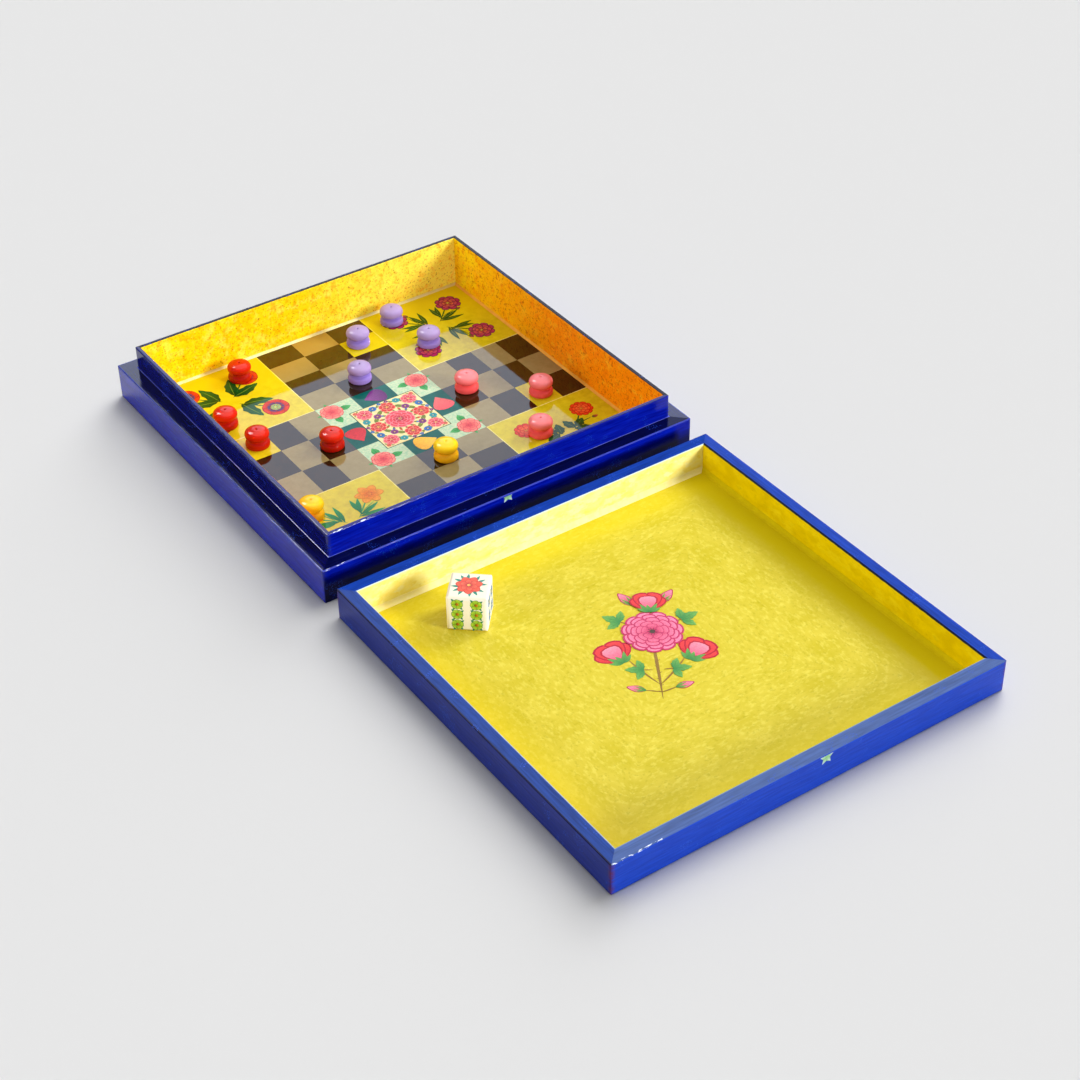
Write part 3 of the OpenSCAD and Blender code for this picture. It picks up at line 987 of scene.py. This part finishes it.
def fitCoves(look):
    finishes = {name: glossLacquer(name, tones, {"Roughness": rough, "Specular IOR Level": shine})
                for name, (*tones, rough, shine) in look["finishes"].items()}
    corners = {  # half the square that it runs round, that square's middle, height, and if it is outside
        "lidCove": (lidHalf, lidMiddle.y, lidHigh.z, False),
        "boardFillet": (boardHalf, 0, boardHigh.z, False),
        "rimBead": (rimHalf, 0, ledgeTop, True),
    }
    for name, (half, middleY, floorZ, outwards) in corners.items():
        radiusMm, body, slot, paints = look["coves"][name]
        ring = mouldedRing(half, middleY, coveOutline(radiusMm * mm, floorZ, outwards, look))
        for face in ring.faces:
            middle = face.calc_center_median()
            # front and back take the first finish, the sides the second: painted light and shade by side
            face.material_index = int(len(paints) > 1 and abs(middle.x) > abs(middle.y - middleY))
        addPiece(name, ring, body, [finishes[paint] for paint in paints])


fitCoves(coveLook)
print("coves fitted")


# Tokens: turned wood dipped in gloss lacquer, with the small hollow that the lathe's centre leaves.
# The eye sees one soft highlight on each cap, and a painted shade: the colour deepens from the
# cap down into the groove and the sides.

tokenLook = {
    # the outline as shares of the token's radius and height
    "base": [(0, 0), (0.55, 0), (0.9, 0), (1.02, 0.02), (1.05, 0.08), (1.05, 0.19), (1.01, 0.28),
             (0.92, 0.335)],
    "neck": [(0.05, 0.37), (0.0, 0.405), (0.0, 0.46), (0.05, 0.5)],  # added to the neck's own share
    "cap": [(0.92, 0.535), (1.02, 0.59), (1.05, 0.67), (1.04, 0.77), (0.97, 0.86), (0.8, 0.935),
            (0.5, 0.98), (0.17, 1.0), (0.1, 0.985), (0.06, 0.93), (0, 0.92)],
    "steps": 24,
    "necks": {"red": 0.77, "purple": 0.62, "pink": 0.77, "yellow": 0.79},  # cut by hand, so they differ
    # two tones of each lacquer, and the deeper one of the painted shade
    "colours": {"red": ("#da2408", "#ca1c04", "#a80e02"), "purple": ("#b29ccc", "#a68ec4", "#947cd4"),
                "pink": ("#ff8c90", "#fa7e82", "#fc4e50"), "yellow": ("#ffdc20", "#ffd414", "#ffc010")},
    "sideShadeFrom": (0.9, 0.5),  # of the height, between which the painted shade grows deeper
    "sideShadeShare": 0.85,
    "shine": {"Roughness": 0.15, "Specular IOR Level": 0.32},
}


def turnToken(low, high, look, neck):
    middle = (low + high) / 2
    radius, height = (high.x - low.x) / 2, high.z - low.z
    shares = look["base"] + [(neck + more, level) for more, level in look["neck"]] + look["cap"]
    points = [(middle.x + share * radius, middle.y, low.z + level * height) for share, level in shares]
    return spun(points, (middle.x, middle.y, 0), look["steps"])


def tokenLacquer(player, low, high, look):
    first, second, deeper = look["colours"][player]
    start, full = (low.z + share * (high.z - low.z) for share in look["sideShadeFrom"])
    return glossLacquer(player + "GlossLacquer", (first, second), look["shine"],
                        (deeper, start, full, look["sideShadeShare"]), waved=False)


def makeTokens(look):
    for player in players:
        material = tokenLacquer(player, *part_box(f"token_{player}_1"), look)
        neck = look["necks"][player]
        for i in range(1, 5):
            node = f"token_{player}_{i}"
            low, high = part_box(node)
            token = addPiece(f"turnedToken_{player}_{i}", turnToken(low, high, look, neck), node,
                             [material])
            rounding = token.modifiers.new("rounding", "SUBSURF")
            rounding.levels = rounding.render_levels = 2
            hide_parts(node)


makeTokens(tokenLook)
print("tokens turned")


# Die: a cube of wood in ivory enamel, brushed on and rubbed satin, with small blossoms for pips.
# The eye sees soft edges and no sharp glints, and a top that has yellowed a little.

dieLook = {
    "turn": -41,  # degrees
    "ground": ("#fbfaf8", "#f6f4f0"),
    "top": "#f6ead0",  # where it has yellowed
    "topMm": (1.5, 0.3),  # below the top, between which that tone grows
    "finish": {"Roughness": 0.32},
    "pipFinish": {"Roughness": 0.35},
    "bigMm": 7.6,  # radius of the top's blossom
    "bigLeaf": (4.6, 5.4, 1.7),  # distance from its middle, length and width in mm
    "pipMm": 3.4,
    "pipLeaf": (2.2, 2.5, 1.2),
    "big": {"rings": [(1.0, 7, 0.72, ("#d82c0c", "#fc5c34")), (0.66, 6, 0.5, ("#c82408", "#fa6c44"))],
            "edge": "#d02c10", "form": "slim", "heart": ("#f8d060", "#e0902c"), "eye": 0.13, "seeds": 6,
            "seed": "#8c1c08"},
    "pips": {
        "green": {"rings": [(1.0, 5, 0.95, ("#78b41c", "#b8dc50"))], "edge": "#44882c",
                  "heart": ("#5c2c0c", "#e08c2c"), "eye": 0.3},
        "blue": {"rings": [(1.0, 5, 0.95, ("#1c58b0", "#549ce4"))], "edge": "#1c4c94",
                 "heart": ("#f0d050", "#c89c2c"), "eye": 0.27},
        "red": {"rings": [(1.0, 5, 0.95, ("#b81c1c", "#ec4c44"))], "edge": "#981818",
                "heart": ("#f0d050", "#c89c2c"), "eye": 0.27},
        "purple": {"rings": [(1.0, 5, 0.95, ("#5c2490", "#a468d0"))], "edge": "#4c1c78",
                   "heart": ("#f0d050", "#c89c2c"), "eye": 0.27},
        "orange": {"rings": [(1.0, 5, 0.95, ("#e06c0c", "#fcac3c"))], "edge": "#b8540c",
                   "heart": ("#5c2c0c", "#7c4818"), "eye": 0.27},
    },
    "leaf": {"inks": ("#04604c", "#1c9c84"), "form": "leaf"},
}


def dieFaces(look):
    low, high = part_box("die")
    middle, half = (low + high) / 2, (high.z - low.z) / 2
    turned = Matrix.Translation(middle) @ Matrix.Rotation(math.radians(look["turn"]), 4, "Z")
    out = Matrix.Translation((0, 0, half)) @ Matrix.Scale(mm, 4)
    faces = [turned @ out]
    upright = Matrix.Rotation(math.radians(90), 4, "X")
    for i in range(4):  # front, right, back and left
        faces.append(turned @ Matrix.Rotation(math.radians(90 * i), 4, "Z") @ upright @ out)
    faces.append(turned @ Matrix.Rotation(math.pi, 4, "X") @ out)
    return faces


def paintDie(look):
    top, front, right, back, left, under = dieFaces(look)
    painting = startPainting(top)
    reach, length, width = look["bigLeaf"]
    for turn in (0.6, 2.17, 3.74, 5.31):
        for k in (-0.5, 0, 0.5):
            at = polar((0, 0), reach, turn + k * 0.6)
            leaf(painting, at, length, width, turn + k * 1.2, look["leaf"])
    blossom(painting, (0, 0), look["bigMm"], look["big"], 0.3)
    reach, length, width = look["pipLeaf"]
    pips = {  # places in mm from each face's middle
        "green": (front, [(x, y) for x in (-5.2, 5.2) for y in (-6.9, 0, 6.9)]),
        "blue": (right, [(x, y) for x in (-4.6, 4.6) for y in (-4.6, 4.6)]),
        "purple": (back, [(-4.6, -4.6), (4.6, 4.6)]),
        "red": (left, [(-5.4, -5.4), (0, 0), (5.4, 5.4)]),
        "orange": (under, [(x, y) for x in (-5.4, 5.4) for y in (-5.4, 5.4)] + [(0, 0)]),
    }
    for kind, (face, spots) in pips.items():
        painting["onto"] = face
        for spot in spots:
            painting["level"] = 0
            for turn in (0.7, 2.3, 4.2, 5.4):
                leaf(painting, polar(spot, reach, turn), length, width, turn, look["leaf"])
            blossom(painting, spot, look["pipMm"], look["pips"][kind], 0.3 + 0.4 * spot[0] + spot[1])
    paint = artPaint("pipPaintSatin", look["pipFinish"], thinCoat)
    hangPainting(painting, "diePips", "die", paint)
    start, full = (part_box("die")[1].z - depth * mm for depth in look["topMm"])
    enamel = glossLacquer("ivoryPaint", look["ground"], look["finish"], (look["top"], start, full, 1.0))
    nodes["die"].material_slots[0].material = enamel


paintDie(dieLook)
print("die painted")


# Stars: one painted in mint across the join, half on the base and half on the lid, for closing
# the box the right way round. Each half ends where the edge of its wall turns.

starLook = {
    "radius": 4.6, "waist": 0.5, "points": 5, "inks": ("#8cc878", "#dceef0"), "finish": {"Roughness": 0.3},
    "edgeMm": 0.8,  # where the walls' top edges start to round
    # body, wall, place from the middle of the front and depth below the wall's top, in mm
    "stars": {"baseStar": ("base", "base_wall_front", -4.9, 0.8),
              "lidStar": ("lid", "lid_wall_front", 4.8, 2)},
}


def paintStar(name, look):
    body, wall, across, depth = look["stars"][name]
    low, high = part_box(wall)
    stand = Matrix.Translation((across * mm, low.y, high.z - depth * mm))
    stand = stand @ Matrix.Rotation(math.radians(90), 4, "X") @ Matrix.Scale(mm, 4)
    painting = startPainting(stand)
    bm = painting["bm"]
    disc = bmesh.ops.create_circle(bm, cap_ends=True, cap_tris=True, segments=2 * look["points"],
                                   radius=look["radius"])["verts"]
    for i, vert in enumerate(disc):
        vert[painting["ink"]] = linear(look["inks"][i % 2])
        if i and i % 2 == 0:
            vert.co *= look["waist"]
        vert.co = stand @ Vector((vert.co.x, vert.co.y, filmMm["lowest"]))
    bmesh.ops.bisect_plane(bm, geom=bm.verts[:] + bm.edges[:] + bm.faces[:], plane_no=(0, 0, 1),
                           plane_co=(0, 0, high.z - look["edgeMm"] * mm), clear_outer=True)
    hangPainting(painting, name, body, artPaint(name + "Paint", look["finish"], thinCoat))


for star in starLook["stars"]:
    paintStar(star, starLook)
print("stars painted")


# Studio: an even floor of pale backdrop paper, which is matt and takes soft shadows, and far lamps
# in a pale room. level is what a lamp gives a white surface that faces it, azimuth is turned from
# +Y towards +X, and angle is how wide the lamp looks. rays keeps a lamp to reflections (glossy) or
# to plain light (diffuse), only lists all that it shines on and spares what it leaves out.

turnedTokens = tuple(f"turnedToken_{player}_{i}" for player in players for i in range(1, 5))
studio = {
    "floor": "#e6e6e6",
    "floorBounce": "#8c8c8c",  # what the object gets back from the floor
    "floorHalf": 5,  # half its side, in metres
    "floorDropMm": 0.05,  # below the box, so that the two don't share a plane
    "ambient": 0.2,
    "mirrored": 0.3,  # brightness of the room in reflections
    "lamps": {
        # a bright panel that shows in the varnish, and soft light from above and from the sides
        "panelBehind": {"azimuth": 33, "height": 32, "angle": 29, "level": 0.137, "colour": "#dde8ff",
                        "spares": ("lid_top_panel",), "rays": "glossy"},
        "softTop": {"azimuth": 60, "height": 70, "angle": 60, "level": 0.36},
        "keyRight": {"azimuth": 92, "height": 34, "angle": 24, "level": 0.5, "spares": ("floor",),
                     "rays": "diffuse"},
        "lowFront": {"azimuth": 149, "height": 19, "angle": 16, "level": 0.86,
                     "spares": ("floor", "base_wall_front"), "rays": "diffuse"},
        "skimFront": {"azimuth": 149, "height": 6, "angle": 12, "level": 0.8,
                      "only": ("base_wall_front",), "rays": "diffuse"},
        "backWall": {"azimuth": 195, "height": 24, "angle": 24, "level": 0.24, "only": ("rim_liner_back",),
                     "rays": "diffuse"},
        "lowLeft": {"azimuth": 275, "height": 18, "angle": 40, "level": 0.5, "spares": ("floor",),
                    "rays": "diffuse"},
        # reflections along the lid's edges, the rim and the tokens, and the floor's own light
        "glint": {"azimuth": 153, "height": 32, "angle": 3, "level": 0.05, "spares": ("floor",)},
        "edgeLeft": {"azimuth": -8, "height": 50, "angle": 18, "level": 0.45, "rays": "glossy",
                     "only": ("base_wall_left", "rim_liner_left", "lid_wall_left", "rimBead",
                              *turnedTokens)},
        "edgeFront": {"azimuth": 138, "height": 42, "angle": 10, "level": 0.06, "rays": "glossy",
                      "only": ("base_wall_front", "rim_liner_front", "lid_wall_front", "rimBead")},
        "floorHigh": {"azimuth": 64, "height": 46, "angle": 50, "level": 0.48, "only": ("floor",)},
        "floorLow": {"azimuth": 56, "height": 20, "angle": 34, "level": 0.38, "only": ("floor",)},
    },
}


def layFloor(look):
    material = bpy.data.materials.new("paleBackdropPaper")
    material.use_nodes = True
    tree = material.node_tree
    tree.nodes.clear()
    rays = addNode(tree, "LightPath", output=None)
    seen = rays["Is Camera Ray"]
    for kind in ("Is Glossy Ray", "Is Transmission Ray"):
        seen = addNode(tree, "Math", {"operation": "MAXIMUM"}, {0: seen, 1: rays[kind]})
    tones = {"data_type": "RGBA", 6: linear(look["floorBounce"]), 7: linear(look["floor"])}
    paper = addNode(tree, "Mix", tones, {0: seen}, output=2)
    surface = addNode(tree, "BsdfDiffuse", {}, {"Color": paper})
    addNode(tree, "OutputMaterial", {}, {"Surface": surface}, output=None)
    bm = bmesh.new()
    bmesh.ops.create_grid(bm, x_segments=1, y_segments=1, size=look["floorHalf"])
    bmesh.ops.translate(bm, vec=(0, 0, -look["floorDropMm"] * mm), verts=bm.verts)
    addMesh("floor", bm, [material])


def hangLamp(name, lamp):
    data = bpy.data.lights.new(name, "SUN")
    data.energy = lamp["level"] * math.pi
    data.angle = math.radians(lamp["angle"])
    data.color = linear(lamp.get("colour", "#ffffff"))[:3]
    light = bpy.data.objects.new(name, data)
    bpy.context.scene.collection.objects.link(light)
    azimuth, height = math.radians(lamp["azimuth"]), math.radians(lamp["height"])
    flat = math.cos(height)
    towards = Vector((math.sin(azimuth) * flat, math.cos(azimuth) * flat, math.sin(height)))
    light.rotation_euler = towards.to_track_quat("Z", "Y").to_euler()
    light.visible_diffuse = lamp.get("rays") != "glossy"
    light.visible_glossy = lamp.get("rays") != "diffuse"
    for rule, state in (("only", "INCLUDE"), ("spares", "EXCLUDE")):
        if rule in lamp:
            flagged = bpy.data.collections.new(name + "Flagged")
            for surface in lamp[rule]:
                flagged.objects.link(nodes.get(surface) or bpy.data.objects[surface])
            for item in flagged.collection_objects:
                item.light_linking.link_state = state
            light.light_linking.receiver_collection = flagged


def lightStudio(look):
    layFloor(look)
    for name, lamp in look["lamps"].items():
        hangLamp(name, lamp)
    world = bpy.data.worlds.new("paleRoom")
    bpy.context.scene.world = world
    world.use_nodes = True
    tree = world.node_tree
    tree.nodes.clear()
    rays = addNode(tree, "LightPath", output=None)
    room = addNode(tree, "Background", {"Color": linear("#ffffff"), "Strength": look["ambient"]})
    mirrored = addNode(tree, "Background", {"Color": linear("#ffffff"), "Strength": look["mirrored"]})
    backdrop = addNode(tree, "Background", {"Color": linear(look["floor"])})
    part = addNode(tree, "MixShader", {}, {0: rays["Is Glossy Ray"], 1: room, 2: mirrored})
    whole = addNode(tree, "MixShader", {}, {0: rays["Is Camera Ray"], 1: part, 2: backdrop})
    addNode(tree, "OutputWorld", {}, {"Surface": whole}, output=None)


lightStudio(studio)
print("studio lit")

bpy.context.scene.view_settings.view_transform = "Standard"
